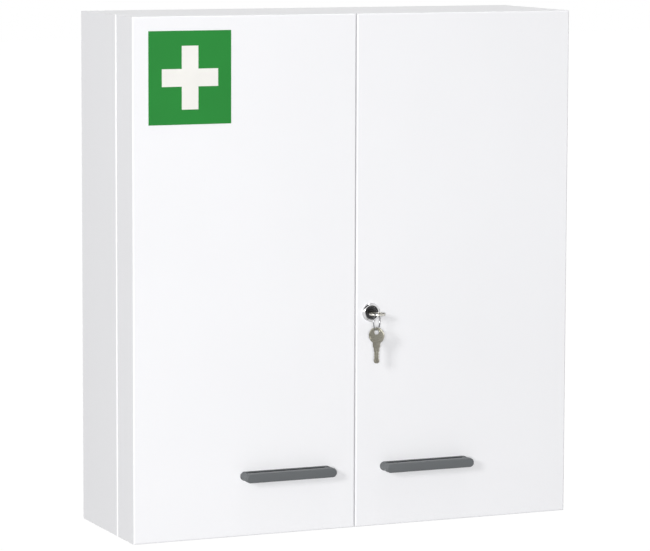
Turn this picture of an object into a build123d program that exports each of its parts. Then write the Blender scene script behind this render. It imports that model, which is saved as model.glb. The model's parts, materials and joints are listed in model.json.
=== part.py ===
from build123d import *
import math
import os

# Lockable steel medicine cabinet with two deep doors, a cam lock and its two keys.
# All sizes are in millimetres. Seen from the front, X points right, Z up and Y towards the wall.
# The origin lies on the wall, at the middle of the back panel.

# ---------------------------------------------------------------- driving dimensions

CABINET_WIDTH = 550.0
CABINET_HEIGHT = 600.0
BODY_DEPTH = 116.5          # from the wall to the front flanges
DOOR_DEPTH = 52.0
DOOR_GAP = 3.5              # between the front flanges and the doors' rear edges
MEETING_GAP = 1.2           # between the two doors
SHEET = 1.0
BEND_RADIUS = 1.5           # outside of a folded corner
OVERCUT = 1.0               # how far a cut runs past the face it starts from

# body
SIDE_FLANGE = 26.0          # the front flanges that carry the hinges
END_FLANGE = 20.0           # the front flanges of the top and bottom
REAR_FLANGE = 13.0
WALL_HOLE_RADIUS = 3.5
WALL_HOLE_FROM_SIDE = 55.0
WALL_HOLE_FROM_END = 50.0

# shelves
SHELF_NAMES = ("lower_shelf", "upper_shelf")    # they divide the height evenly
SHELF_LIP = 14.0
SHELF_CLEARANCE = 0.5       # at each end, so that a shelf lifts out
LEDGE_WIDTH = 12.0
LEDGE_SHEET = 1.2
LEDGE_END_GAP = 8.0         # between a ledge's ends and the shelf's lips

# hinges
HINGE_SETBACK = 4.3         # from the pin to the door's outer face and to its rear edge
HINGE_LENGTH = 60.0
HINGE_FROM_END = 75.0       # from a hinge's middle to the cabinet's top or underside
HINGE_PIN_RADIUS = 1.5
HINGE_FIT = 0.05            # radial clearance of the pin
KNUCKLE_RADIUS = 3.0
KNUCKLE_LENGTH = 22.0       # the frame leaf's single knuckle
KNUCKLE_GAP = 0.3
LEAF_SHEET = 1.0
FRAME_LEAF_WIDTH = 20.0     # from the pin to the leaf's far edge
FRAME_LEAF_CRANK = 6.8      # from the pin to the crank that passes round the door's edge
DOOR_LEAF_WIDTH = 22.0
PIN_HEAD_RADIUS = 2.6
PIN_HEAD_HEIGHT = 1.2

# door pans
END_RETURN = 14.0           # rear flanges of a door's top and bottom walls
MEETING_RETURN = 12.0       # rear flange of a door's meeting wall
RETURN_FROM_SIDE = 13.0     # where the end flanges stop, clear of the hinges

# storage bins in the doors
BIN_COUNT = 4               # spread evenly up the door
LOWEST_BIN = 22.0           # its floor above the cabinet's underside
BIN_LIP = 35.0
BIN_TAB = 12.0
BIN_FROM_HINGE_SIDE = 17.0
BIN_FROM_MEETING = 20.0
BIN_DEPTH = 42.0

# magnets and bumpers in the front flanges
STUD_FROM_END = 8.0
STUD_HEIGHT = 3.0
STUD_STEM_RADIUS = 3.0
STUD_STEM_LENGTH = 4.0
STUD_FIT = 0.05
MAGNET_RADIUS = 5.0
MAGNET_FROM_MIDDLE = 60.0
BUMPER_RADIUS = 4.5
BUMPER_FROM_SIDE = 40.0

# slide bolt on the left door and its keeper on the body
BOLT_THICKNESS = 3.0
BOLT_WIDTH = 12.0
BOLT_LENGTH = 82.0
BOLT_TRAVEL = 12.0
BOLT_FROM_WALL = 3.2        # from the meeting wall to the bolt
BOLT_BEHIND_EDGE = 22.0     # from the door's rear edge to the bolt's middle
BOLT_PLAY = 2.0             # between the bolt and the keeper's lip
BOLT_FIT = 0.2
BOLT_FROM_TOP = 30.0        # from the withdrawn bolt's end up to the door's top
GUIDE_HEIGHT = 8.0
GUIDE_WALL = 2.0
UPPER_GUIDE_DROP = 20.0     # from the bolt's end down to the guides and the knob
LOWER_GUIDE_DROP = 66.0
KNOB_DROP = 44.0
KNOB_RADIUS = 4.0
KNOB_LENGTH = 9.0
KNOB_EDGE_RADIUS = 1.5
KEEPER_SHEET = 1.5
KEEPER_GAP = 1.2            # from the withdrawn bolt up to the lip
KEEPER_PAST_BOLT = 2.5      # from the raised bolt's end up to the lip's end
KEEPER_DROP = 10.0
KEEPER_FROM_MIDDLE = 15.5
KEEPER_FOOT = 14.5
KEEPER_FROM_TOP = 3.0
KEEPER_NOTCH_GAP = 3.0      # under the lip, in the notch of the door's rear flange

# handles
HANDLE_LENGTH = 113.0
HANDLE_HEIGHT = 10.6
HANDLE_DEPTH = 21.0
HANDLE_FROM_MIDDLE = 88.2
HANDLE_LEVEL = 70.2         # above the cabinet's underside
HANDLE_EDGE_RADIUS = 1.2
HANDLE_PLATE = 3.5          # the plate that lies on the door
HANDLE_BAR = 9.0            # the bar in front of it
HANDLE_POST_RADIUS = 3.9
GRIP_FLOOR = 3.0            # from the handle's underside up to the floor's upper face
GRIP_FLOOR_SHEET = 1.8
HANDLE_SCREW_RADIUS = 1.5
HANDLE_SCREW_DEPTH = 14.0
HANDLE_SCREW_FIT = 0.05
SCREW_HOLE_RADIUS = 1.9
SCREW_HEAD_RADIUS = 3.4
SCREW_HEAD_HEIGHT = 2.2
SCREW_SLOT = 0.9

# first-aid sign
SIGN_WIDTH = 100.0
SIGN_HEIGHT = 106.0
SIGN_THICKNESS = 0.5
SIGN_FROM_SIDE = 19.0
SIGN_FROM_TOP = 16.5
CROSS_WIDTH = 68.0
CROSS_HEIGHT = 72.0
CROSS_ARM = 20.0
CROSS_THICKNESS = 0.3

# lock
LOCK_FROM_MIDDLE = 19.2
LOCK_LEVEL = 252.5          # above the cabinet's underside
LOCK_FLANGE_RADIUS = 11.0
LOCK_FLANGE = 3.0
LOCK_FLANGE_EDGE = 1.2
LOCK_MOUTH_RADIUS = 8.8
LOCK_MOUTH_DEPTH = 2.0
LOCK_BARREL_RADIUS = 9.5
LOCK_BARREL_LENGTH = 22.0
LOCK_FLATS = 17.0           # across the barrel's two flats
LOCK_HOLE_FIT = 0.1
LOCK_WALL_TO_PLUG = 2.5
PLUG_FIT = 0.05
NUT_ACROSS_FLATS = 24.0
NUT_HEIGHT = 4.0
WASHER_THICKNESS = 0.8
WASHER_RADIUS = 13.0
WASHER_TEETH = 12
WASHER_TOOTH = 1.2
PLUG_SQUARE = 6.0
PLUG_SHOULDER_GAP = 0.3
CAM_THICKNESS = 2.0
CAM_WIDTH = 12.0
CAM_REACH = 31.0
CAM_TAIL = 7.0
CAM_FIT = 0.1
CAM_SCREW_RADIUS = 2.0
CAM_SCREW_DEPTH = 5.5       # from the cam's rear face
CAM_SCREW_HEAD_RADIUS = 4.0
CAM_SCREW_HEAD_HEIGHT = 2.0
CAM_SLOT_SIDE_GAP = 3.0     # beside the cam, in the slots of the meeting walls
CAM_SLOT_END_GAP = 1.5

# keys
KEY_THICKNESS = 2.0
KEY_BOW_RADIUS = 9.5
KEY_HOLE_RADIUS = 2.9
KEY_HOLE_FROM_END = 5.6
KEY_NECK_WIDTH = 9.0
KEY_NECK_LENGTH = 4.5
KEY_BLADE_WIDTH = 6.6
KEY_BLADE_LENGTH = 18.5
KEY_CUT_RADIUS = 1.6
KEY_CUT_DEPTH = 1.1
KEY_CUT_PITCH = 3.2
KEY_CUTS = 3
KEY_FIRST_CUT = 6.0
KEY_TIP = 1.8
KEY_GROOVE_WIDTH = 1.6
KEY_GROOVE_DEPTH = 0.5
KEY_FIT = 0.2
KEYWAY_END_GAP = 0.8        # behind the tip of a key that is pushed right home
KEY_STANDS_OUT = 3.5        # from the plug's face to the shoulder of the key in the lock

# ring
RING_RADIUS = 10.0          # of the wire's centre line
RING_WIRE_RADIUS = 0.6
RING_HANG_GAP = 0.72        # under the wire where it passes over the key's bow
SPARE_HANG_GAP = 0.15       # between the wire and the spare key that hangs on it
RING_AHEAD_OF_BOW = 7.61    # from the middle of the key's bow to the middle of the ring
RING_LEFT_OF_LOCK = 4.02
RING_TURN = 45.7            # degrees about the vertical, from square with the door

# ---------------------------------------------------------------- places worked out from these

RIGHT = CABINET_WIDTH / 2
TOP = CABINET_HEIGHT / 2
COMPARTMENT_HEIGHT = CABINET_HEIGHT / (len(SHELF_NAMES) + 1)
BIN_PITCH = (CABINET_HEIGHT - LOWEST_BIN - 2 * SHEET) / BIN_COUNT
HINGE_LEVEL = TOP - HINGE_FROM_END
BOLT_TOP = TOP - BOLT_FROM_TOP
BODY_FRONT = -BODY_DEPTH
DOOR_REAR = BODY_FRONT - DOOR_GAP
DOOR_FRONT = DOOR_REAR - DOOR_DEPTH
DOOR_INSIDE = DOOR_FRONT + SHEET
MEETING_EDGE = MEETING_GAP / 2
MEETING_INSIDE = MEETING_EDGE + SHEET
PIN_X = RIGHT - HINGE_SETBACK
PIN_Y = DOOR_REAR - HINGE_SETBACK
HANDLE_Z = HANDLE_LEVEL - TOP
HANDLE_BAR_REAR = HANDLE_BAR - HANDLE_DEPTH
POST_FROM_MIDDLE = (HANDLE_LENGTH - HANDLE_HEIGHT) / 2
LOCK_Z = LOCK_LEVEL - TOP
PLUG_RADIUS = LOCK_BARREL_RADIUS - LOCK_WALL_TO_PLUG
PLUG_FACE = DOOR_FRONT - LOCK_FLANGE + LOCK_MOUTH_DEPTH
BARREL_END = DOOR_FRONT + LOCK_BARREL_LENGTH
CAM_FRONT = BARREL_END + PLUG_SHOULDER_GAP
CAM_BACK = CAM_FRONT + CAM_THICKNESS
KEY_SHOULDER = PLUG_FACE - KEY_STANDS_OUT
KEY_BOW_Y = KEY_SHOULDER - KEY_NECK_LENGTH - KEY_BOW_RADIUS
BOLT_Y = DOOR_REAR - BOLT_BEHIND_EDGE
BOLT_X = MEETING_INSIDE + BOLT_FROM_WALL
LIP_BOTTOM = BOLT_TOP + KEEPER_GAP
LIP_TOP = BOLT_TOP + BOLT_TRAVEL + KEEPER_PAST_BOLT
RING_X = LOCK_FROM_MIDDLE - RING_LEFT_OF_LOCK
RING_Y = KEY_BOW_Y - RING_AHEAD_OF_BOW
RING_Z = LOCK_Z + KEY_THICKNESS / 2 + RING_HANG_GAP + RING_WIRE_RADIUS - RING_RADIUS
RING_BOTTOM_Z = RING_Z - RING_RADIUS


# ---------------------------------------------------------------- basic shapes


def block(x, y, z):
    """A box between the low and high values given for x, y and z."""
    size = [high - low for low, high in (x, y, z)]
    centre = [(high + low) / 2 for low, high in (x, y, z)]
    return Pos(*centre) * Box(*size)


def rod_along_y(radius, y, x, z):
    return Pos(x, (y[0] + y[1]) / 2, z) * Rot(90, 0, 0) * Cylinder(radius, y[1] - y[0])


def rod_along_x(radius, x, y, z):
    return Pos((x[0] + x[1]) / 2, y, z) * Rot(0, 90, 0) * Cylinder(radius, x[1] - x[0])


def rod_along_z(radius, z, x, y):
    return Pos(x, y, (z[0] + z[1]) / 2) * Cylinder(radius, z[1] - z[0])


def around(middle, half):
    return (middle - half, middle + half)


def to_left(shape):
    """The left-hand twin of a right-hand piece."""
    return shape.mirror(Plane.YZ)


def upside_down(shape):
    return shape.mirror(Plane.XY)


# ---------------------------------------------------------------- cabinet body


def with_front_fold(panel, envelope, along, outward):
    """A panel with its front fold rounded. It fills part of the envelope, and its plate faces outward."""
    fold = envelope.edges().filter_by(along).sort_by(outward)[-2:].sort_by(Axis.Y)[0]
    return panel & fillet(fold, BEND_RADIUS)


def side_panel():
    depth = (BODY_FRONT, -SHEET)
    plate = block((RIGHT - SHEET, RIGHT), depth, (-TOP, TOP))
    flange_height = (-TOP + SHEET, TOP - SHEET)
    front = block((RIGHT - SIDE_FLANGE, RIGHT), (BODY_FRONT, BODY_FRONT + SHEET), flange_height)
    rear = block((RIGHT - REAR_FLANGE, RIGHT), (-2 * SHEET, -SHEET), flange_height)
    envelope = block((RIGHT - SIDE_FLANGE, RIGHT), depth, (-TOP, TOP))
    return with_front_fold(plate + front + rear, envelope, Axis.Z, Axis.X)


def stud_places():
    """Middles of the magnets and the bumpers in the top flange, and the bottom one's mirrored."""
    level = TOP - STUD_FROM_END
    return {
        "door_magnets": [(x, level) for x in (-MAGNET_FROM_MIDDLE, MAGNET_FROM_MIDDLE)],
        "door_bumpers": [(x, level) for x in (BUMPER_FROM_SIDE - RIGHT, RIGHT - BUMPER_FROM_SIDE)],
    }


def top_panel():
    width = around(0, RIGHT - SHEET)
    depth = (BODY_FRONT, -SHEET)
    plate = block(width, depth, (TOP - SHEET, TOP))
    front_half = RIGHT - SIDE_FLANGE
    front = block((-front_half, front_half), (BODY_FRONT, BODY_FRONT + SHEET), (TOP - END_FLANGE, TOP))
    rear_half = RIGHT - REAR_FLANGE
    rear = block((-rear_half, rear_half), (-2 * SHEET, -SHEET), (TOP - REAR_FLANGE, TOP))
    envelope = block(width, depth, (TOP - END_FLANGE, TOP))
    panel = with_front_fold(plate + front + rear, envelope, Axis.X, Axis.Z)
    for places in stud_places().values():
        for x, z in places:
            panel -= rod_along_y(STUD_STEM_RADIUS + STUD_FIT, around(BODY_FRONT, 2 * SHEET), x, z)
    return panel


def back_panel():
    panel = block((-RIGHT, RIGHT), (-SHEET, 0), (-TOP, TOP))
    hole_x = RIGHT - WALL_HOLE_FROM_SIDE
    hole_z = TOP - WALL_HOLE_FROM_END
    for x in (-hole_x, hole_x):
        for z in (-hole_z, hole_z):
            panel -= rod_along_y(WALL_HOLE_RADIUS, around(0, 2 * SHEET), x, z)
    return panel


def studs(radius, places):
    """Push-in studs, each a round head in front of the flange and a stem through it."""
    solids = []
    for x, z in places:
        head = rod_along_y(radius, (BODY_FRONT - STUD_HEIGHT, BODY_FRONT), x, z)
        stem = rod_along_y(STUD_STEM_RADIUS, (BODY_FRONT, BODY_FRONT + STUD_STEM_LENGTH), x, z)
        solids += [head + stem, upside_down(head + stem)]
    return Compound(children=solids)


def shelf_level(number):
    """The height of a shelf's upper face, counted from the lowest shelf, number 0."""
    return COMPARTMENT_HEIGHT * (number + 1) - TOP


def shelf(level):
    half = RIGHT - SHEET - SHELF_CLEARANCE
    front = BODY_FRONT + SHEET + SHELF_CLEARANCE
    rear = -2 * SHEET - SHELF_CLEARANCE
    height = (level - SHELF_LIP, level)
    plate = block((-half, half), (front, rear), (level - SHEET, level))
    front_lip = block((-half, half), (front, front + SHEET), height)
    rear_lip = block((-half, half), (rear - SHEET, rear), height)
    return plate + front_lip + rear_lip


def shelf_ledges():
    """Angles welded to the side panels, one under each end of each shelf."""
    wall = RIGHT - SHEET
    front = BODY_FRONT + 2 * SHEET + SHELF_CLEARANCE + LEDGE_END_GAP
    rear = -3 * SHEET - SHELF_CLEARANCE - LEDGE_END_GAP
    ledges = []
    for number in range(len(SHELF_NAMES)):
        top = shelf_level(number) - SHEET
        seat = block((wall - LEDGE_WIDTH, wall), (front, rear), (top - LEDGE_SHEET, top))
        leg = block((wall - LEDGE_SHEET, wall), (front, rear), (top - LEDGE_WIDTH, top))
        ledges += [seat + leg, to_left(seat + leg)]
    return Compound(children=ledges)


# ---------------------------------------------------------------- hinges


def pin_hole(level):
    length = around(level, HINGE_LENGTH)
    return rod_along_z(HINGE_PIN_RADIUS + HINGE_FIT, length, PIN_X, PIN_Y)


def frame_leaf(level):
    """The leaf on the body: flat on the front flange, cranked forward round the door's edge to the pin."""
    length = around(level, HINGE_LENGTH / 2)
    middle = around(level, KNUCKLE_LENGTH / 2)
    crank = PIN_X - FRAME_LEAF_CRANK
    arm_front = PIN_Y - LEAF_SHEET / 2
    leaf = block((PIN_X - FRAME_LEAF_WIDTH, crank), (BODY_FRONT - LEAF_SHEET, BODY_FRONT), length)
    leaf += block((crank - LEAF_SHEET, crank), (arm_front, BODY_FRONT), length)
    leaf += block((crank - LEAF_SHEET, PIN_X), (arm_front, arm_front + LEAF_SHEET), middle)
    leaf += rod_along_z(KNUCKLE_RADIUS, middle, PIN_X, PIN_Y)
    return leaf - pin_hole(level)


def door_leaf(level):
    """The leaf on the door: flat on the inside of the side wall, with a knuckle at each end."""
    wall = RIGHT - SHEET
    length = around(level, HINGE_LENGTH / 2)
    cut_out = around(level, KNUCKLE_LENGTH / 2 + KNUCKLE_GAP)
    leaf = block((wall - LEAF_SHEET, wall), (PIN_Y - DOOR_LEAF_WIDTH, PIN_Y), length)
    leaf += rod_along_z(KNUCKLE_RADIUS, length, PIN_X, PIN_Y)
    clear = KNUCKLE_RADIUS + HINGE_FIT + KNUCKLE_GAP
    leaf -= block(around(PIN_X, 2 * KNUCKLE_RADIUS), around(PIN_Y, clear), cut_out)
    return leaf - pin_hole(level)


def hinge_pin(level):
    top = level + HINGE_LENGTH / 2
    shank = rod_along_z(HINGE_PIN_RADIUS, (level - HINGE_LENGTH / 2, top + KNUCKLE_GAP), PIN_X, PIN_Y)
    head_height = (top + KNUCKLE_GAP, top + KNUCKLE_GAP + PIN_HEAD_HEIGHT)
    return shank + rod_along_z(PIN_HEAD_RADIUS, head_height, PIN_X, PIN_Y)


def hinge_pins():
    pins = [hinge_pin(level) for level in (-HINGE_LEVEL, HINGE_LEVEL)]
    return Compound(children=pins + [to_left(pin) for pin in pins])


# ---------------------------------------------------------------- doors


def handle_screw_places():
    return around(HANDLE_FROM_MIDDLE, POST_FROM_MIDDLE)


def barrel_section(radius, flats, y, x, z):
    """A round bar with two flats, at its left and right."""
    bar = rod_along_y(radius, y, x, z)
    return bar & block(around(x, flats / 2), y, around(z, 2 * radius))


def cam_slot():
    """The room that the cam's tip sweeps through in the walls where the doors meet."""
    reach_down = math.sqrt(CAM_REACH**2 - (LOCK_FROM_MIDDLE - MEETING_INSIDE) ** 2)
    z = (LOCK_Z - reach_down - CAM_SLOT_END_GAP, LOCK_Z + CAM_WIDTH / 2 + CAM_SLOT_END_GAP)
    y = (CAM_FRONT - CAM_SLOT_SIDE_GAP, CAM_BACK + CAM_SLOT_SIDE_GAP)
    return block((0, 2 * MEETING_INSIDE), y, z)


def keeper_notch():
    """The gap in the meeting wall's rear flange that the bolt keeper's lip passes as the door swings."""
    x = (MEETING_INSIDE, MEETING_EDGE + MEETING_RETURN + OVERCUT)
    y = (DOOR_REAR - SHEET, DOOR_REAR)
    return block(x, y, (LIP_BOTTOM - KEEPER_NOTCH_GAP, TOP - END_RETURN))


def door_pan(has_lock):
    """One folded sheet: the door's front and four walls, with rear flanges on all but the hinged wall."""
    pan = block((MEETING_EDGE, RIGHT), (DOOR_FRONT, DOOR_REAR), (-TOP, TOP))
    pan = fillet(pan.faces().sort_by(Axis.Y)[0].edges(), BEND_RADIUS)
    inside = block(
        (MEETING_INSIDE, RIGHT - SHEET), (DOOR_INSIDE, DOOR_REAR + SHEET), (-TOP + SHEET, TOP - SHEET)
    )
    pan -= inside
    flange_depth = (DOOR_REAR - SHEET, DOOR_REAR)
    end_return = block((MEETING_EDGE, RIGHT - RETURN_FROM_SIDE), flange_depth, (TOP - END_RETURN, TOP))
    meeting_return = block((MEETING_EDGE, MEETING_EDGE + MEETING_RETURN), flange_depth, (-TOP, TOP))
    pan += end_return + upside_down(end_return) + meeting_return
    for x in handle_screw_places():
        pan -= rod_along_y(SCREW_HOLE_RADIUS, around(DOOR_FRONT, 2 * SHEET), x, HANDLE_Z)
    pan -= cam_slot()
    if has_lock:
        radius = LOCK_BARREL_RADIUS + LOCK_HOLE_FIT
        flats = LOCK_FLATS + 2 * LOCK_HOLE_FIT
        pan -= barrel_section(radius, flats, around(DOOR_FRONT, 2 * SHEET), LOCK_FROM_MIDDLE, LOCK_Z)
    else:
        pan -= keeper_notch()
    return pan


def storage_bin(floor_top):
    """A folded tray welded to the inside of the door's front."""
    x = (BIN_FROM_MEETING, RIGHT - BIN_FROM_HINGE_SIDE)
    y = (DOOR_INSIDE, DOOR_INSIDE + BIN_DEPTH)
    z = (floor_top - SHEET, floor_top + BIN_LIP)
    tray = block(x, y, (floor_top - SHEET, floor_top))
    tray += block(x, (y[1] - SHEET, y[1]), z)
    tray += block((x[0], x[0] + SHEET), y, z)
    tray += block((x[1] - SHEET, x[1]), y, z)
    tray += block(x, (y[0], y[0] + SHEET), (floor_top - SHEET, floor_top + BIN_TAB))
    return tray


def bin_levels():
    return [LOWEST_BIN - TOP + BIN_PITCH * step for step in range(BIN_COUNT)]


def handle():
    """A plastic pull: a plate on the door, a bar before it, two end posts and a low floor between."""
    outline = Plane.XZ * SlotOverall(HANDLE_LENGTH, HANDLE_HEIGHT)
    plate = extrude(outline, amount=HANDLE_PLATE)
    bar = Pos(0, HANDLE_BAR_REAR, 0) * extrude(outline, amount=HANDLE_BAR)
    bar = fillet(bar.faces().sort_by(Axis.Y)[0].edges(), HANDLE_EDGE_RADIUS)
    gap = (HANDLE_BAR_REAR, -HANDLE_PLATE)
    floor = GRIP_FLOOR - HANDLE_HEIGHT / 2
    grip = plate + bar + block(around(0, POST_FROM_MIDDLE), gap, (floor - GRIP_FLOOR_SHEET, floor))
    for x in around(0, POST_FROM_MIDDLE):
        grip += rod_along_y(HANDLE_POST_RADIUS, gap, x, 0)
        grip -= rod_along_y(HANDLE_SCREW_RADIUS + HANDLE_SCREW_FIT, (-HANDLE_SCREW_DEPTH, OVERCUT), x, 0)
    return Pos(HANDLE_FROM_MIDDLE, DOOR_FRONT, HANDLE_Z) * grip


def handle_screws():
    """Pan-head screws that come from inside the door."""
    solids = []
    for x in handle_screw_places():
        head = rod_along_y(SCREW_HEAD_RADIUS, (DOOR_INSIDE, DOOR_INSIDE + SCREW_HEAD_HEIGHT), x, HANDLE_Z)
        shank_length = (DOOR_FRONT - HANDLE_SCREW_DEPTH, DOOR_INSIDE)
        screw = head + rod_along_y(HANDLE_SCREW_RADIUS, shank_length, x, HANDLE_Z)
        for width, height in ((SCREW_SLOT, SCREW_HEAD_RADIUS), (SCREW_HEAD_RADIUS, SCREW_SLOT)):
            recess = (DOOR_INSIDE + SCREW_HEAD_HEIGHT / 2, DOOR_INSIDE + SCREW_HEAD_HEIGHT)
            screw -= block(around(x, width / 2), recess, around(HANDLE_Z, height / 2))
        solids.append(screw)
    return solids


# ---------------------------------------------------------------- first-aid sign, on the left door


def sign_middle():
    return (SIGN_FROM_SIDE + SIGN_WIDTH / 2 - RIGHT, TOP - SIGN_FROM_TOP - SIGN_HEIGHT / 2)


def sign_panel():
    x, z = sign_middle()
    depth = (DOOR_FRONT - SIGN_THICKNESS, DOOR_FRONT)
    return block(around(x, SIGN_WIDTH / 2), depth, around(z, SIGN_HEIGHT / 2))


def sign_cross():
    x, z = sign_middle()
    face = DOOR_FRONT - SIGN_THICKNESS
    depth = (face - CROSS_THICKNESS, face)
    upright = block(around(x, CROSS_ARM / 2), depth, around(z, CROSS_HEIGHT / 2))
    level = block(around(x, CROSS_WIDTH / 2), depth, around(z, CROSS_ARM / 2))
    return upright + level


# ---------------------------------------------------------------- slide bolt, on the left door


def bolt_section(z, clearance=0.0):
    x = (BOLT_X - clearance, BOLT_X + BOLT_THICKNESS + clearance)
    return block(x, around(BOLT_Y, BOLT_WIDTH / 2 + clearance), z)


def door_bolt():
    return bolt_section((BOLT_TOP - BOLT_LENGTH, BOLT_TOP))


def bolt_knob():
    start = BOLT_X + BOLT_THICKNESS
    knob = rod_along_x(KNOB_RADIUS, (start, start + KNOB_LENGTH), BOLT_Y, BOLT_TOP - KNOB_DROP)
    return fillet(knob.faces().sort_by(Axis.X)[-1].edges(), KNOB_EDGE_RADIUS)


def bolt_guides():
    """Blocks riveted to the meeting wall, each with a slot that the bolt slides through."""
    x = (MEETING_INSIDE, BOLT_X + BOLT_THICKNESS + BOLT_FIT + GUIDE_WALL)
    y = around(BOLT_Y, BOLT_WIDTH / 2 + BOLT_FIT + GUIDE_WALL)
    guides = []
    for drop in (LOWER_GUIDE_DROP, UPPER_GUIDE_DROP):
        level = BOLT_TOP - drop
        z = around(level, GUIDE_HEIGHT / 2)
        guides.append(block(x, y, z) - bolt_section(around(level, GUIDE_HEIGHT), BOLT_FIT))
    return guides


def bolt_keeper():
    """A bracket on the top front flange that reaches into the door and ends in a lip before the bolt."""
    lip_rear = BOLT_Y - BOLT_WIDTH / 2 - BOLT_PLAY
    lip_front = lip_rear - KEEPER_SHEET
    leg_bottom = BOLT_TOP - KEEPER_DROP
    leg_x = (KEEPER_FROM_MIDDLE, KEEPER_FROM_MIDDLE + KEEPER_SHEET)
    foot_x = (KEEPER_FROM_MIDDLE, KEEPER_FROM_MIDDLE + KEEPER_FOOT)
    foot = block(foot_x, (BODY_FRONT - KEEPER_SHEET, BODY_FRONT), (leg_bottom, TOP - KEEPER_FROM_TOP))
    leg = block(leg_x, (lip_front, BODY_FRONT), (leg_bottom, LIP_TOP))
    lip = block((BOLT_X, KEEPER_FROM_MIDDLE), (lip_front, lip_rear), (LIP_BOTTOM, LIP_TOP))
    return foot + leg + lip


# ---------------------------------------------------------------- lock, on the right door


def at_lock(shape):
    """Moves a shape from the lock's own axis to its place on the door."""
    return Pos(LOCK_FROM_MIDDLE, 0, LOCK_Z) * shape


def lock_housing():
    flange_face = DOOR_FRONT - LOCK_FLANGE
    flange = rod_along_y(LOCK_FLANGE_RADIUS, (flange_face, DOOR_FRONT), 0, 0)
    flange = fillet(flange.faces().sort_by(Axis.Y)[0].edges(), LOCK_FLANGE_EDGE)
    housing = flange + barrel_section(LOCK_BARREL_RADIUS, LOCK_FLATS, (DOOR_FRONT, BARREL_END), 0, 0)
    housing -= rod_along_y(PLUG_RADIUS + PLUG_FIT, (flange_face - OVERCUT, BARREL_END + OVERCUT), 0, 0)
    housing -= rod_along_y(LOCK_MOUTH_RADIUS, (flange_face - OVERCUT, PLUG_FACE), 0, 0)
    return at_lock(housing)


def lock_washer():
    y = (DOOR_INSIDE, DOOR_INSIDE + WASHER_THICKNESS)
    washer = rod_along_y(WASHER_RADIUS, y, 0, 0)
    washer -= rod_along_y(LOCK_BARREL_RADIUS + LOCK_HOLE_FIT, y, 0, 0)
    notch = block(around(WASHER_RADIUS, WASHER_TOOTH), y, around(0, WASHER_TOOTH / 2))
    for tooth in range(WASHER_TEETH):
        washer -= Rot(0, 360 * tooth / WASHER_TEETH, 0) * notch
    return at_lock(washer)


def lock_nut():
    start = DOOR_INSIDE + WASHER_THICKNESS
    outline = Plane.XZ * RegularPolygon(NUT_ACROSS_FLATS / 2, 6, major_radius=False)
    nut = Pos(0, start + NUT_HEIGHT, 0) * extrude(outline, amount=NUT_HEIGHT)
    hole_length = (start - OVERCUT, start + NUT_HEIGHT + OVERCUT)
    nut -= rod_along_y(LOCK_BARREL_RADIUS + LOCK_HOLE_FIT, hole_length, 0, 0)
    return at_lock(nut)


def lock_plug():
    plug = rod_along_y(PLUG_RADIUS, (PLUG_FACE, CAM_FRONT), 0, 0)
    plug += block(around(0, PLUG_SQUARE / 2), (CAM_FRONT, CAM_BACK), around(0, PLUG_SQUARE / 2))
    keyway_width = KEY_BLADE_WIDTH / 2 + KEY_FIT
    keyway_height = KEY_THICKNESS / 2 + KEY_FIT
    keyway_end = PLUG_FACE + KEY_BLADE_LENGTH + KEYWAY_END_GAP
    plug -= block(around(0, keyway_width), (PLUG_FACE - OVERCUT, keyway_end), around(0, keyway_height))
    plug -= rod_along_y(CAM_SCREW_RADIUS, (CAM_BACK - CAM_SCREW_DEPTH, CAM_BACK), 0, 0)
    return at_lock(plug)


def lock_cam():
    """Points down while the lock is open, and through both doors' meeting walls once it is turned."""
    y = (CAM_FRONT, CAM_BACK)
    cam = rod_along_y(CAM_TAIL, y, 0, 0)
    tip = CAM_REACH - CAM_WIDTH / 2
    cam += block(around(0, CAM_WIDTH / 2), y, (-tip, 0))
    cam += rod_along_y(CAM_WIDTH / 2, y, 0, -tip)
    hole = PLUG_SQUARE / 2 + CAM_FIT
    return at_lock(cam - block(around(0, hole), (CAM_FRONT - OVERCUT, CAM_BACK + OVERCUT), around(0, hole)))


def cam_screw():
    head = rod_along_y(CAM_SCREW_HEAD_RADIUS, (CAM_BACK, CAM_BACK + CAM_SCREW_HEAD_HEIGHT), 0, 0)
    screw = head + rod_along_y(CAM_SCREW_RADIUS, (CAM_BACK - CAM_SCREW_DEPTH, CAM_BACK), 0, 0)
    recess = (CAM_BACK + CAM_SCREW_HEAD_HEIGHT / 2, CAM_BACK + CAM_SCREW_HEAD_HEIGHT)
    screw -= block(around(0, SCREW_SLOT / 2), recess, around(0, CAM_SCREW_HEAD_RADIUS))
    return at_lock(screw)


# ---------------------------------------------------------------- keys and their ring


def key_shape():
    """A key lying flat, with the middle of its bow at the origin and its blade along +Y."""
    neck_end = KEY_BOW_RADIUS + KEY_NECK_LENGTH
    blade_end = neck_end + KEY_BLADE_LENGTH
    half = KEY_BLADE_WIDTH / 2
    thickness = around(0, KEY_THICKNESS / 2)
    bow = Cylinder(KEY_BOW_RADIUS, KEY_THICKNESS)
    neck = block(around(0, KEY_NECK_WIDTH / 2), (0, neck_end), thickness)
    blade = block(around(0, half), (neck_end, blade_end), thickness)
    blade = chamfer(blade.faces().sort_by(Axis.Y)[-1].edges().filter_by(Axis.Z), KEY_TIP)
    key = bow + neck + blade
    for step in range(KEY_CUTS):
        y = neck_end + KEY_FIRST_CUT + KEY_CUT_PITCH * step
        for side in (-1, 1):
            x = side * (half + KEY_CUT_RADIUS - KEY_CUT_DEPTH)
            key -= Pos(x, y, 0) * Cylinder(KEY_CUT_RADIUS, 2 * KEY_THICKNESS)
    groove = around(KEY_THICKNESS / 2, KEY_GROOVE_DEPTH)
    key -= block(around(0, KEY_GROOVE_WIDTH / 2), (neck_end, blade_end), groove)
    key -= Pos(0, KEY_HOLE_FROM_END - KEY_BOW_RADIUS, 0) * Cylinder(KEY_HOLE_RADIUS, 2 * KEY_THICKNESS)
    return key


def lock_key():
    return Pos(LOCK_FROM_MIDDLE, KEY_BOW_Y, LOCK_Z) * key_shape()


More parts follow.
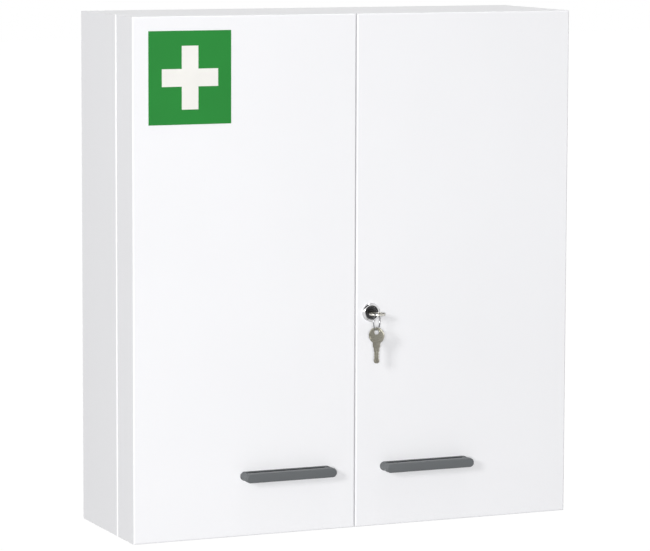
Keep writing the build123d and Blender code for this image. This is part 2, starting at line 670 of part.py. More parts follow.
def key_ring():
    """Hangs in the hole of the lock's key, its plane upright and turned aside."""
    wire = Rot(0, 90, 0) * Torus(RING_RADIUS, RING_WIRE_RADIUS)
    return Pos(RING_X, RING_Y, RING_Z) * Rot(0, 0, -RING_TURN) * wire


def spare_key():
    """Hangs on the lowest point of the ring, its bow square to the ring's wire."""
    hole_top = KEY_BOW_RADIUS - KEY_HOLE_FROM_END + KEY_HOLE_RADIUS
    bow_z = RING_BOTTOM_Z + RING_WIRE_RADIUS + SPARE_HANG_GAP - hole_top
    return Pos(RING_X, RING_Y, bow_z) * Rot(0, 0, -RING_TURN) * Rot(-90, 0, 0) * key_shape()


# ---------------------------------------------------------------- the whole cabinet


def pieces():
    found = {
        "right_side_panel": side_panel(),
        "left_side_panel": to_left(side_panel()),
        "top_panel": top_panel(),
        "bottom_panel": upside_down(top_panel()),
        "back_panel": back_panel(),
        "shelf_ledges": shelf_ledges(),
        "hinge_pins": hinge_pins(),
        "bolt_keeper": to_left(bolt_keeper()),
        "right_door_pan": door_pan(has_lock=True),
        "left_door_pan": to_left(door_pan(has_lock=False)),
        "right_handle": handle(),
        "left_handle": to_left(handle()),
        "right_handle_screws": Compound(children=handle_screws()),
        "left_handle_screws": Compound(children=[to_left(screw) for screw in handle_screws()]),
        "sign_panel": sign_panel(),
        "sign_cross": sign_cross(),
        "door_bolt": to_left(door_bolt()),
        "bolt_knob": to_left(bolt_knob()),
        "bolt_guides": Compound(children=[to_left(guide) for guide in bolt_guides()]),
        "lock_housing": lock_housing(),
        "lock_washer": lock_washer(),
        "lock_nut": lock_nut(),
        "lock_plug": lock_plug(),
        "lock_cam": lock_cam(),
        "cam_screw": cam_screw(),
        "lock_key": lock_key(),
        "key_ring": key_ring(),
        "spare_key": spare_key(),
    }
    places = stud_places()
    found["door_magnets"] = studs(MAGNET_RADIUS, places["door_magnets"])
    found["door_bumpers"] = studs(BUMPER_RADIUS, places["door_bumpers"])
    for number, name in enumerate(SHELF_NAMES):
        found[name] = shelf(shelf_level(number))
    for name, level in (("lower", -HINGE_LEVEL), ("upper", HINGE_LEVEL)):
        found[f"right_{name}_frame_leaf"] = frame_leaf(level)
        found[f"left_{name}_frame_leaf"] = to_left(frame_leaf(level))
        found[f"right_{name}_door_leaf"] = door_leaf(level)
        found[f"left_{name}_door_leaf"] = to_left(door_leaf(level))
    for number, level in enumerate(bin_levels(), start=1):
        found[f"right_door_bin_{number}"] = storage_bin(level)
        found[f"left_door_bin_{number}"] = to_left(storage_bin(level))
    return found


def main():
    os.makedirs("parts", exist_ok=True)
    for name, shape in pieces().items():
        export_step(shape, f"parts/{name}.step")
    print(f"hinge pins at x = +-{PIN_X:.3f}, y = {PIN_Y:.3f}")
    print(f"lock axis at x = {LOCK_FROM_MIDDLE:.3f}, z = {LOCK_Z:.3f}")
    print(f"ring middle at x = {RING_X:.3f}, y = {RING_Y:.3f}, z = {RING_Z:.3f}")
    print(f"lowest wire at z = {RING_BOTTOM_Z:.3f}")


main()
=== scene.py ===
import json
import math

import bmesh
import bpy
from mathutils import Matrix, Vector


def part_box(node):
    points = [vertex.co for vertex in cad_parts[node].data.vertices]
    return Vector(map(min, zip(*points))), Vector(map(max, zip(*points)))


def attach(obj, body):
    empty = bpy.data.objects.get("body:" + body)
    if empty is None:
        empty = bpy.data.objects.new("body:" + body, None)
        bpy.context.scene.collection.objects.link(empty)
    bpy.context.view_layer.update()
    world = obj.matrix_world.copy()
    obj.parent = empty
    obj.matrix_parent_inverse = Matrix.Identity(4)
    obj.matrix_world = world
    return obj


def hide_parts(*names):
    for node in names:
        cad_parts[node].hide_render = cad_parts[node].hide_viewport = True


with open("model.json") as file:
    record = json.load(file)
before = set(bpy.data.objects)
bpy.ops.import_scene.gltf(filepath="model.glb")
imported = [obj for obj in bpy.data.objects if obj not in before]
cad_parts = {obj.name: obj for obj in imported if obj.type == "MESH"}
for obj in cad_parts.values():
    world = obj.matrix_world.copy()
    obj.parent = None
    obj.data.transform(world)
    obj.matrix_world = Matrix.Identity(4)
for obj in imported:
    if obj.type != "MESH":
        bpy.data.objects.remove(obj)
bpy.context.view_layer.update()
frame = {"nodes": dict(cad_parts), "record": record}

nodes = frame["nodes"]
MM = 0.001


# ------------------------------------------------------------------ materials

NOISE_LOW, NOISE_HIGH = 0.3, 0.7  # the part of its range that a noise mostly uses


def srgb(r, g, b):
    """A linear colour from display values of 0 to 255."""

    def one(v):
        v = v / 255
        return v / 12.92 if v <= 0.04045 else ((v + 0.055) / 1.055) ** 2.4

    return (one(r), one(g), one(b), 1.0)


def shade(value, tint=(1, 1, 1)):
    """A grey of one value, or the tint at that value."""
    return (value * tint[0], value * tint[1], value * tint[2], 1.0)


def scaled(colour, factor):
    """The colour made darker or brighter."""
    return tuple(c * factor for c in colour[:3]) + (1.0,)


class Nodes:
    """A small helper that builds one node material."""

    def __init__(self, name):
        self.material = bpy.data.materials.new(name)
        self.material.use_nodes = True
        self.tree = self.material.node_tree
        self.tree.nodes.clear()
        self.output = self.add("ShaderNodeOutputMaterial")
        self.shader = self.add("ShaderNodeBsdfPrincipled")
        self.link(self.shader, "BSDF", self.output, "Surface")

    def add(self, kind, **values):
        node = self.tree.nodes.new(kind)
        for key, value in values.items():
            setattr(node, key, value)
        return node

    def link(self, a, out, b, into):
        self.tree.links.new(a.outputs[out], b.inputs[into])

    def set(self, **values):
        for key, value in values.items():
            self.shader.inputs[key.replace("_", " ")].default_value = value

    def position(self, scale=(1, 1, 1)):
        """The object's own coordinates in metres, stretched by scale."""
        coordinates = self.add("ShaderNodeTexCoord")
        mapping = self.add("ShaderNodeMapping")
        mapping.inputs["Scale"].default_value = scale
        self.link(coordinates, "Object", mapping, "Vector")
        return mapping

    def noise(self, scale, detail, roughness=0.5, stretch=(1, 1, 1)):
        place = self.position(stretch)
        noise = self.add("ShaderNodeTexNoise")
        noise.inputs["Scale"].default_value = scale
        noise.inputs["Detail"].default_value = detail
        noise.inputs["Roughness"].default_value = roughness
        self.link(place, "Vector", noise, "Vector")
        return noise

    def ramp(self, source, out, low, high, start=NOISE_LOW, end=NOISE_HIGH):
        """A colour or grey that runs from low to high with the source."""
        ramp = self.add("ShaderNodeValToRGB")
        ramp.color_ramp.elements[0].position = start
        ramp.color_ramp.elements[1].position = end
        ramp.color_ramp.elements[0].color = low
        ramp.color_ramp.elements[1].color = high
        self.link(source, out, ramp, "Fac")
        return ramp

    def spread(self, source, low, high):
        """A number that runs from low to high with a noise."""
        spread = self.add("ShaderNodeMapRange")
        spread.inputs["From Min"].default_value = NOISE_LOW
        spread.inputs["From Max"].default_value = NOISE_HIGH
        spread.inputs["To Min"].default_value = low
        spread.inputs["To Max"].default_value = high
        self.link(source, "Fac", spread, "Value")
        return spread

    def multiplied(self, first, second):
        """The product of two ramps' colours."""
        mix = self.add("ShaderNodeMix", data_type="RGBA", blend_type="MULTIPLY")
        mix.inputs["Factor"].default_value = 1.0
        self.link(first, "Color", mix, "A")
        self.link(second, "Color", mix, "B")
        return mix

    def bump(self, source, strength, distance, below=None):
        """The relief of a noise, on top of another bump if one is given."""
        bump = self.add("ShaderNodeBump")
        bump.inputs["Strength"].default_value = strength
        bump.inputs["Distance"].default_value = distance
        self.link(source, "Fac", bump, "Height")
        if below is not None:
            self.link(below, "Normal", bump, "Normal")
        return bump

    def surface(self, colour, out, rough, relief):
        """Joins colour, roughness and relief to the shader and gives the material."""
        self.link(colour, out, self.shader, "Base Color")
        self.link(rough, "Result", self.shader, "Roughness")
        self.link(relief, "Normal", self.shader, "Normal")
        return self.material


def powder_coat(name, colour, gloss):
    """White powder coat: a fine orange-peel skin, faint tone drift and a few dust specks."""
    n = Nodes(name)
    n.set(IOR=1.5, Specular_IOR_Level=0.5, Coat_Weight=0.12, Coat_Roughness=0.25)
    drift = n.noise(scale=5, detail=3)
    tone = n.ramp(drift, "Fac", scaled(colour, 0.985), colour)
    specks = n.noise(scale=900, detail=1, roughness=0.4)
    speck = n.ramp(specks, "Fac", shade(0.93), shade(1.0), start=0.22, end=0.27)
    rough = n.spread(drift, gloss - 0.03, gloss + 0.04)
    peel = n.bump(n.noise(scale=420, detail=3, roughness=0.55), strength=0.22, distance=0.00012)
    fine = n.noise(scale=1900, detail=2)
    relief = n.bump(fine, strength=0.12, distance=0.00004, below=peel)
    return n.surface(n.multiplied(tone, speck), "Result", rough, relief)


def metal(name, colour, gloss, brushing=(1, 1, 1), stain=0.8, bump=0.25):
    """A metal with brushing lines along one direction, uneven polish and light stains."""
    n = Nodes(name)
    n.set(Metallic=1.0, IOR=1.5)
    lines = n.noise(scale=260, detail=4, roughness=0.65, stretch=brushing)
    cloud = n.noise(scale=70, detail=4, roughness=0.6)
    tone = n.ramp(cloud, "Fac", scaled(colour, stain), colour)
    streak = n.ramp(lines, "Fac", shade(0.86), shade(1.0))
    rough = n.spread(lines, gloss * 0.8, gloss * 1.25)
    relief = n.bump(lines, strength=bump, distance=0.00003)
    return n.surface(n.multiplied(tone, streak), "Result", rough, relief)


def zinc_plate(name):
    """Zinc plating with its faint crystal spangle."""
    n = Nodes(name)
    n.set(Metallic=1.0, IOR=1.5)
    place = n.position()
    cells = n.add("ShaderNodeTexVoronoi", feature="F1")
    cells.inputs["Scale"].default_value = 180
    n.link(place, "Vector", cells, "Vector")
    bluish = (1, 1.01, 1.03)
    dark, bright = shade(0.5, bluish), shade(0.66, bluish)
    spangle = n.ramp(cells, "Color", dark, bright, start=0.1, end=0.9)
    grain = n.noise(scale=700, detail=3, roughness=0.6)
    rough = n.spread(grain, 0.3, 0.46)
    relief = n.bump(grain, strength=0.15, distance=0.00003)
    return n.surface(spangle, "Color", rough, relief)


def moulded_plastic(name, colour, gloss):
    """Dark moulded plastic: a spark-eroded grain, soft sheen and faint flow marks."""
    n = Nodes(name)
    n.set(IOR=1.48, Specular_IOR_Level=0.45)
    flow = n.noise(scale=30, detail=3, roughness=0.55, stretch=(0.35, 1, 1))
    tone = n.ramp(flow, "Fac", scaled(colour, 0.9), scaled(colour, 1.06))
    grain = n.noise(scale=2600, detail=3, roughness=0.6)
    rough = n.spread(grain, gloss - 0.06, gloss + 0.08)
    relief = n.bump(grain, strength=0.3, distance=0.00004)
    return n.surface(tone, "Color", rough, relief)


def printed_film(name, colour, gloss):
    """Screen-printed film: flat ink with a very fine screen and slight tone drift."""
    n = Nodes(name)
    n.set(IOR=1.46, Specular_IOR_Level=0.4)
    drift = n.noise(scale=22, detail=3)
    tone = n.ramp(drift, "Fac", scaled(colour, 0.94), colour)
    ink = n.noise(scale=3200, detail=2)
    rough = n.spread(ink, gloss - 0.04, gloss + 0.06)
    relief = n.bump(ink, strength=0.12, distance=0.00002)
    return n.surface(tone, "Color", rough, relief)


WHITE = (0.9, 0.9, 0.915, 1.0)
CHROME = (0.72, 0.72, 0.73, 1.0)
DARK_METAL = (0.07, 0.07, 0.072, 1.0)
NICKEL = (0.26, 0.25, 0.21, 1.0)
# Lighter metal for the keys' rim faces: a painted highlight along their edges.
RIM_HIGHLIGHT_NICKEL = (0.72, 0.7, 0.64, 1.0)
STEEL = (0.36, 0.36, 0.37, 1.0)
MAGNET = (0.16, 0.16, 0.17, 1.0)
RUBBER = (0.02, 0.02, 0.02, 1.0)

MATERIALS = {
    "white_paint": powder_coat("white_paint", WHITE, gloss=0.42),
    "zinc_steel": zinc_plate("zinc_steel"),
    "chrome": metal("chrome", CHROME, gloss=0.1, stain=0.9, bump=0.08),
    "plug_metal": metal("plug_metal", DARK_METAL, gloss=0.3, brushing=(1, 6, 1), stain=0.7),
    "key_nickel": metal("key_nickel", NICKEL, gloss=0.3, brushing=(1.2, 1.2, 7), stain=0.72),
    # The keys' rim metal is a painted highlight along their edges.
    "key_rim_painted_highlight": metal("key_rim_painted_highlight", RIM_HIGHLIGHT_NICKEL, gloss=0.22),
    "ring_steel": metal("ring_steel", STEEL, gloss=0.22),
    "grey_plastic": moulded_plastic("grey_plastic", srgb(93, 96, 98), gloss=0.5),
    # A darker copy of the handles' grey plastic: painted shade for the trough between bar and plate.
    "painted_shade_plastic": moulded_plastic("painted_shade_plastic", srgb(60, 62, 64), gloss=0.8),
    "sign_green": printed_film("sign_green", srgb(26, 128, 46), gloss=0.45),
    "sign_white": printed_film("sign_white", srgb(243, 241, 236), gloss=0.45),
    "magnet_steel": metal("magnet_steel", MAGNET, gloss=0.4, stain=0.7),
    "black_rubber": moulded_plastic("black_rubber", RUBBER, gloss=0.75),
}

for part in frame["record"]["subparts"]:
    piece = nodes[part["node"]]
    piece.data.materials.clear()
    piece.data.materials.append(MATERIALS[part["material_slot"]])


# ------------------------------------------------------------------ mesh helpers

SAME_POINT = 1e-5
SAME_LEVEL = 1e-4
CUT_FLATNESS = math.radians(0.5)


def finish_mesh(name, bm, body, slot, replaced, sharp):
    """Turns a bmesh in millimetres into a piece that rides on a body."""
    bmesh.ops.remove_doubles(bm, verts=bm.verts, dist=SAME_POINT)
    bmesh.ops.recalc_face_normals(bm, faces=bm.faces)
    bmesh.ops.scale(bm, vec=(MM, MM, MM), verts=bm.verts)
    mesh = bpy.data.meshes.new(name)
    bm.to_mesh(mesh)
    bm.free()
    piece = bpy.data.objects.new(name, mesh)
    bpy.context.scene.collection.objects.link(piece)
    mesh.materials.append(MATERIALS[slot])
    mesh.shade_smooth()
    mesh.set_sharp_from_angle(angle=math.radians(sharp))
    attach(piece, body)
    if replaced:
        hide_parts(*replaced)
    return piece


def apply_modifiers(piece):
    """Replaces a piece's mesh by the one its modifiers make."""
    bpy.context.view_layer.update()
    graph = bpy.context.evaluated_depsgraph_get()
    mesh = bpy.data.meshes.new_from_object(piece.evaluated_get(graph))
    piece.modifiers.clear()
    piece.data = mesh


def scratch_object(bm):
    """A helper solid for a cut, in millimetres."""
    bmesh.ops.recalc_face_normals(bm, faces=bm.faces)
    mesh = bpy.data.meshes.new("cutter")
    bm.to_mesh(mesh)
    bm.free()
    cutter = bpy.data.objects.new("cutter", mesh)
    bpy.context.scene.collection.objects.link(cutter)
    return cutter


def joined(parts):
    """Several closed shapes as one mesh."""
    whole = bmesh.new()
    for part in parts:
        mesh = bpy.data.meshes.new("part")
        part.to_mesh(mesh)
        part.free()
        whole.from_mesh(mesh)
        bpy.data.meshes.remove(mesh)
    return whole


def cut(bm, cutters):
    """The bmesh less every cutter, both in millimetres."""
    base = scratch_object(bm)
    tools = [scratch_object(c) for c in cutters]
    for tool in tools:
        step = base.modifiers.new("cut", "BOOLEAN")
        step.operation = "DIFFERENCE"
        step.solver = "EXACT"
        step.object = tool
    apply_modifiers(base)
    result = bmesh.new()
    result.from_mesh(base.data)
    for helper in [base] + tools:
        bpy.data.objects.remove(helper)
    bmesh.ops.dissolve_limit(result, angle_limit=CUT_FLATNESS, verts=result.verts, edges=result.edges)
    return result


def circle(radius, count, centre=(0, 0)):
    angles = [2 * math.pi * k / count for k in range(count)]
    return [(centre[0] + radius * math.cos(a), centre[1] + radius * math.sin(a)) for a in angles]


def rectangle(x, y):
    return [(x[0], y[0]), (x[1], y[0]), (x[1], y[1]), (x[0], y[1])]


def upright(u, v, w):
    return (u, v, w)


def prism(outline, low, high, place=upright):
    """A solid between two copies of a flat outline.

    place(u, v, w) gives a point from the outline's u and v and the height w.
    """
    bm = bmesh.new()
    bottom = [bm.verts.new(place(u, v, low)) for u, v in outline]
    top = [bm.verts.new(place(u, v, high)) for u, v in outline]
    bm.faces.new(bottom)
    bm.faces.new(list(reversed(top)))
    count = len(outline)
    for i in range(count):
        j = (i + 1) % count
        bm.faces.new((bottom[j], bottom[i], top[i], top[j]))
    bmesh.ops.recalc_face_normals(bm, faces=bm.faces)
    return bm


def bevel(bm, chosen, width, segments):
    """Rounds the edges that chosen(edge) picks."""
    edges = [e for e in bm.edges if chosen(e)]
    bmesh.ops.bevel(
        bm, geom=edges, offset=width, segments=segments, profile=0.5, affect="EDGES", clamp_overlap=True
    )


def at_depth(y):
    """Picks the edges that lie at one y."""
    return lambda edge: all(abs(v.co.y - y) < SAME_LEVEL for v in edge.verts)


def along_y_axis(edge):
    return abs(edge.verts[0].co.y - edge.verts[1].co.y) > SAME_LEVEL


def level(edge):
    return abs(edge.verts[0].co.z - edge.verts[1].co.z) < SAME_LEVEL


def lathe(profile, centre, segments=96):
    """A turned shape about an axis along Y: profile is a list of (radius, y)."""
    bm = bmesh.new()
    rings = []
    for radius, y in profile:
        if radius < SAME_POINT:
            rings.append([bm.verts.new((centre[0], y, centre[1]))])
        else:
            rings.append([bm.verts.new((x, y, z)) for x, z in circle(radius, segments, centre)])
    for first, second in zip(rings, rings[1:]):
        for k in range(segments):
            j = (k + 1) % segments
            if len(first) == 1:
                bm.faces.new((first[0], second[k], second[j]))
            elif len(second) == 1:
                bm.faces.new((first[k], first[j], second[0]))
            else:
                bm.faces.new((first[k], first[j], second[j], second[k]))
    return bm


def sweep(path, radius, sides):
    """A round wire along points in millimetres, with narrowed ends."""
    end_taper = 0.55
    bm = bmesh.new()
    last = len(path) - 1
    rings = []
    normal = None
    for i, point in enumerate(path):
        tangent = (path[min(i + 1, last)] - path[max(i - 1, 0)]).normalized()
        if normal is None:
            normal = tangent.orthogonal().normalized()
        normal = (normal - tangent * normal.dot(tangent)).normalized()
        side = tangent.cross(normal)
        shrink = end_taper if i in (0, last) else 1.0
        ring = []
        for k in range(sides):
            a = 2 * math.pi * k / sides
            turned = normal * math.cos(a) + side * math.sin(a)
            ring.append(bm.verts.new(point + radius * shrink * turned))
        rings.append(ring)
    for first, second in zip(rings, rings[1:]):
        for k in range(sides):
            j = (k + 1) % sides
            bm.faces.new((first[k], first[j], second[j], second[k]))
    bm.faces.new(rings[0])
    bm.faces.new(list(reversed(rings[-1])))
    return bm


def centre_of(node):
    low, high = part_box(node)
    return (low + high) / 2 / MM


def size_of(node):
    low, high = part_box(node)
    return (high - low) / MM


# ------------------------------------------------------------------ handles

HANDLE_BAR = 9.0  # from the bar's front to its rear
HANDLE_PLATE = 3.5
HANDLE_POST_RADIUS = 5.0
HANDLE_FLOOR = (1.2, 3.0)  # the trough's floor, above the handle's lower edge
HANDLE_OVERLAP = 0.3  # of posts and floor with the bar and the plate
BAR_FRONT_ROUND, BAR_REAR_ROUND = 1.6, 0.5
PLATE_FRONT_ROUND, PLATE_REAR_ROUND = 0.6, 0.25
PLATE_FACE_NEAR = 0.01
LEVEL_NORMAL = 0.99


def stadium(length, height, steps=20):
    """A bar's outline with half-round ends."""
    radius = height / 2
    straight = length / 2 - radius
    points = []
    for side in (1, -1):
        for k in range(steps + 1):
            a = -math.pi / 2 + math.pi * k / steps
            points.append((side * (straight + radius * math.cos(a)), side * radius * math.sin(a)))
    return points


def build_handle(name, node, body):
    """A moulded pull: a plate on the door, a rounded bar in front of it, two posts and a low floor."""
    middle = centre_of(node)
    size = size_of(node)
    low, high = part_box(node)
    front, rear = low.y / MM, high.y / MM
    bottom = low.z / MM
    bar_rear, plate_front = front + HANDLE_BAR, rear - HANDLE_PLATE
    post = (size.x - size.z) / 2

    def along_y(u, v, w):
        return (middle.x + u, w, middle.z + v)

    bar = prism(stadium(size.x, size.z), front, bar_rear, along_y)
    bevel(bar, at_depth(front), BAR_FRONT_ROUND, segments=6)
    bevel(bar, at_depth(bar_rear), BAR_REAR_ROUND, segments=3)
    plate = prism(stadium(size.x, size.z), plate_front, rear, along_y)
    bevel(plate, at_depth(plate_front), PLATE_FRONT_ROUND, segments=3)
    bevel(plate, at_depth(rear), PLATE_REAR_ROUND, segments=2)
    floor_low, floor_high = (bottom - middle.z + height for height in HANDLE_FLOOR)
    between = [circle(HANDLE_POST_RADIUS, count=40, centre=(x, 0)) for x in (-post, post)]
    between.append(rectangle((-post, post), (floor_low, floor_high)))
    parts = [bar, plate]
    for outline in between:
        parts.append(prism(outline, bar_rear - HANDLE_OVERLAP, plate_front + HANDLE_OVERLAP, along_y))
    piece = finish_mesh(name, joined(parts), body, "grey_plastic", (node,), sharp=40)
    # The plate's front face and the trough's floor take the darker plastic: painted shade in the trough
    # between bar and plate.
    piece.data.materials.append(MATERIALS["painted_shade_plastic"])
    for face in piece.data.polygons:
        y = face.center.y / MM
        on_plate = abs(y - plate_front) < PLATE_FACE_NEAR
        in_trough = bar_rear < y < plate_front and abs(face.normal.z) > LEVEL_NORMAL
        if on_plate or in_trough:
            face.material_index = 1


build_handle("left_pull", "left_handle", "left_door")
build_handle("right_pull", "right_handle", "right_door")


# ------------------------------------------------------------------ lock

BORE_GAP = 0.05  # between the lock case's bore and the plug
MOUTH_WIDTH = 1.0  # of the step round the plug
LIP_ROUND = ((0.0, 0.5), (0.2, 0.15), (0.5, 0.0))  # outwards from the mouth, back from the face
FLANGE_ROUND = 2.6
FLANGE_ROUND_STEPS = 8
FLANGE_HEEL = 0.35
THREAD_RADIUS, THREAD_ROOT = 9.45, 8.95
THREAD_PITCH = 1.0
THREAD_CREST_AT, THREAD_ROOT_AT = 0.2, 0.6  # shares of the pitch
THREAD_FREE = 1.2  # plain length at both ends of the thread
BARREL_TIP = ((9.3, 0.5), (8.8, 0.0))  # radius, distance from the barrel's end
BARREL_FLAT = 8.5  # from the axis

# A thin dark sheet in the lock's mouth round the plug: painted shade in the recess.
MOUTH_SHADE_WALL = 0.7  # from the plug to the shade sheet's inner wall
MOUTH_SHADE_THICKNESS = 0.27
MOUTH_SHADE_LIFT = 0.06  # of the shade sheet's floor above the plug's face
MOUTH_SHADE_PLUG_GAP = 0.15
MOUTH_SHADE_CORNER = 0.2
MOUTH_SHADE_EDGE = (0.75, 0.6)  # the shade sheet's rim, back from the flange's face, inside and outside

PLUG_DISH = ((0, 0.35), (3.4, 0.35), (3.9, 0.05), (4.5, 0))  # radius, depth
PLUG_ROUND = 0.5
PLUG_HEEL = 0.3
KEYWAY_HALF_WIDTH, KEYWAY_HALF_HEIGHT = 3.5, 1.2
KEYWAY_LEAD = 1.0  # in front of the plug's face, so that the cut is clean
KEYWAY_DEPTH = 19.0
SQUARE_HALF = 3.0
SQUARE_EDGE = 0.3

door_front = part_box("right_door_pan")[0].y / MM
housing_low, housing_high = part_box("lock_housing")
lock_x = centre_of("lock_housing").x
lock_z = centre_of("lock_housing").z
flange_radius = size_of("lock_housing").x / 2
flange_face = housing_low.y / MM
barrel_end = housing_high.y / MM
plug_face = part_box("lock_plug")[0].y / MM
plug_radius = size_of("lock_plug").x / 2


def on_lock_axis(u, v, w):
    return (lock_x + u, w, lock_z + v)


def build_housing():
    """The chromed lock case: a domed flange with a bright inner step, and a threaded, flatted barrel."""
    bore = plug_radius + BORE_GAP
    mouth = plug_radius + MOUTH_WIDTH
    profile = [(bore, plug_face), (mouth, plug_face)]
    profile += [(mouth + out, flange_face + back) for out, back in LIP_ROUND]
    for k in range(FLANGE_ROUND_STEPS + 1):
        a = math.pi / 2 * k / FLANGE_ROUND_STEPS
        radius = flange_radius - FLANGE_ROUND + FLANGE_ROUND * math.sin(a)
        profile.append((radius, flange_face + FLANGE_ROUND - FLANGE_ROUND * math.cos(a)))
    profile += [(flange_radius, door_front - FLANGE_HEEL), (flange_radius - FLANGE_HEEL, door_front)]
    y = door_front + THREAD_FREE
    profile += [(THREAD_RADIUS, door_front), (THREAD_RADIUS, y)]
    while y < barrel_end - THREAD_FREE:
        profile.append((THREAD_RADIUS, y + THREAD_PITCH * THREAD_CREST_AT))
        profile.append((THREAD_ROOT, y + THREAD_PITCH * THREAD_ROOT_AT))
        y += THREAD_PITCH
    profile += [(radius, barrel_end - back) for radius, back in BARREL_TIP]
    profile.append((bore, barrel_end))
    case = lathe(profile, (lock_x, lock_z))
    for vert in case.verts:
        if vert.co.y > door_front + SAME_LEVEL:
            offset = vert.co.x - lock_x
            vert.co.x = lock_x + max(-BARREL_FLAT, min(BARREL_FLAT, offset))
    wall = lathe([(bore, barrel_end), (bore, plug_face)], (lock_x, lock_z))
    whole = joined([case, wall])
    finish_mesh("lock_case", whole, "right_door", "chrome", ("lock_housing",), sharp=28)


def build_mouth_shade():
    """A thin sheet of the plug's dark metal over the wall and floor of the mouth round the plug: painted
    shade in the recess.
    """
    inner = plug_radius + MOUTH_SHADE_PLUG_GAP
    wall, floor = plug_radius + MOUTH_SHADE_WALL, plug_face - MOUTH_SHADE_LIFT
    outer = wall + MOUTH_SHADE_THICKNESS
    profile = [(inner, plug_face), (inner, floor), (wall - MOUTH_SHADE_CORNER, floor)]
    profile += [(wall, floor - MOUTH_SHADE_CORNER), (wall, flange_face + MOUTH_SHADE_EDGE[0])]
    profile += [(outer, flange_face + MOUTH_SHADE_EDGE[1]), (outer, plug_face)]
    shade_sheet = lathe(profile, (lock_x, lock_z))
    finish_mesh("mouth_painted_shade", shade_sheet, "right_door", "plug_metal", (), sharp=30)


def build_plug():
    """The turned plug with its keyway, a dished face and the square end that carries the cam."""
    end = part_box("lock_cam")[0].y / MM
    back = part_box("lock_cam")[1].y / MM
    profile = [(radius, plug_face + depth) for radius, depth in PLUG_DISH]
    profile += [(plug_radius - PLUG_ROUND, plug_face), (plug_radius, plug_face + PLUG_ROUND)]
    profile += [(plug_radius, end - PLUG_HEEL), (plug_radius - PLUG_HEEL, end), (0, end)]
    body = lathe(profile, (lock_x, lock_z))
    keyway = rectangle((-KEYWAY_HALF_WIDTH, KEYWAY_HALF_WIDTH), (-KEYWAY_HALF_HEIGHT, KEYWAY_HALF_HEIGHT))
    body = cut(body, [prism(keyway, plug_face - KEYWAY_LEAD, plug_face + KEYWAY_DEPTH, on_lock_axis)])
    half = (-SQUARE_HALF, SQUARE_HALF)
    square = prism(rectangle(half, half), end, back, on_lock_axis)
    bevel(square, along_y_axis, SQUARE_EDGE, segments=2)
    whole = joined([body, square])
    finish_mesh("turned_plug", whole, "lock_core", "plug_metal", ("lock_plug",), sharp=30)


build_housing()
build_mouth_shade()
build_plug()


# ------------------------------------------------------------------ keys and ring

# The keys' lengths run from the bow's middle towards the tip.
BOW_RADIUS = 9.5
NECK_HALF_WIDTH = 4.5
SHOULDER = 14.0
SHOULDER_CUT = 0.6
TIP = 32.5
BLADE_HALF_WIDTH = 3.3
BLADE_ROOT_HALF_WIDTH, BLADE_ROOT = 3.5, 0.3
CODE_CUTS = (6.0, 9.2, 12.4)  # from the shoulder
CODE_CUT_DEPTH = 1.05
CODE_CUT_HALF_LENGTH = 1.6
CODE_CUT_STEPS = 6
KEY_POINT = ((3.3, 2.0), (2.9, 1.3), (1.5, 0.0), (0.0, 0.0))  # half width, distance from the tip

KEY_THICKNESS = 2.0
KEY_EDGE = 0.28
KEY_HOLE_RADIUS, KEY_HOLE_AT = 2.9, -3.9
BOSS_RADIUS = 4.1
RECESS_RADIUS = 7.9
RECESS_FLOOR = 0.6  # this and the next five heights are from the key's middle plane
GROOVE_FLOOR = 0.4
COLLAR_FLOOR = 0.8
BOSS_START = 0.5
CUT_TOP = 2.0  # where the tools of these cuts end
CUTTER_REACH = 3.0  # where those of the hole and the boss end
GROOVE_HALF_WIDTH = 1.15
GROOVE = (14.6, 33.5)
COLLAR_HALF_WIDTH = 5
COLLAR = (11.0, 11.7)
BEAD_RADIUS = 0.93
BEAD = (15.0, 15.6, 20.0, 25.0, 30.0, 31.6)
RIM_NORMAL = 0.3


def key_outline():
    """Half of a key's outline, from the end of the bow to the tip, as (half width, length)."""
    points = []
    start = math.degrees(math.asin(NECK_HALF_WIDTH / BOW_RADIUS))
    steps = 40
    for k in range(steps + 1):
        a = math.radians(-90 + (180 - start) * k / steps)
        points.append((BOW_RADIUS * math.cos(a), BOW_RADIUS * math.sin(a)))
    points[0] = (0.0, -BOW_RADIUS)
    points += [(NECK_HALF_WIDTH, SHOULDER - SHOULDER_CUT), (NECK_HALF_WIDTH - SHOULDER_CUT, SHOULDER)]
    points += [(BLADE_ROOT_HALF_WIDTH, SHOULDER), (BLADE_HALF_WIDTH, SHOULDER + BLADE_ROOT)]
    for middle in CODE_CUTS:
        for k in range(-CODE_CUT_STEPS, CODE_CUT_STEPS + 1):
            t = k / CODE_CUT_STEPS
            dip = CODE_CUT_DEPTH * 0.5 * (1 + math.cos(math.pi * t))
            points.append((BLADE_HALF_WIDTH - dip, SHOULDER + middle + t * CODE_CUT_HALF_LENGTH))
    points += [(half_width, TIP - back) for half_width, back in KEY_POINT]
    return points


def key_cutters():
    """The hole in the bow and, on both faces, the recess round its boss, the groove and the neck's line."""
    hole_at = (0, KEY_HOLE_AT)
    hole = circle(KEY_HOLE_RADIUS, count=48, centre=hole_at)
    cutters = [prism(hole, -CUTTER_REACH, CUTTER_REACH)]
    groove_outline = rectangle((-GROOVE_HALF_WIDTH, GROOVE_HALF_WIDTH), GROOVE)
    collar_outline = rectangle((-COLLAR_HALF_WIDTH, COLLAR_HALF_WIDTH), COLLAR)
    for face in (-1, 1):
        recess = prism(circle(RECESS_RADIUS, count=72), face * RECESS_FLOOR, face * CUT_TOP)
        boss_outline = circle(BOSS_RADIUS, count=48, centre=hole_at)
        boss = prism(boss_outline, face * BOSS_START, face * CUTTER_REACH)
        cutters.append(cut(recess, [boss]))
        cutters.append(prism(groove_outline, face * GROOVE_FLOOR, face * CUT_TOP))
        cutters.append(prism(collar_outline, face * COLLAR_FLOOR, face * CUT_TOP))
    return cutters


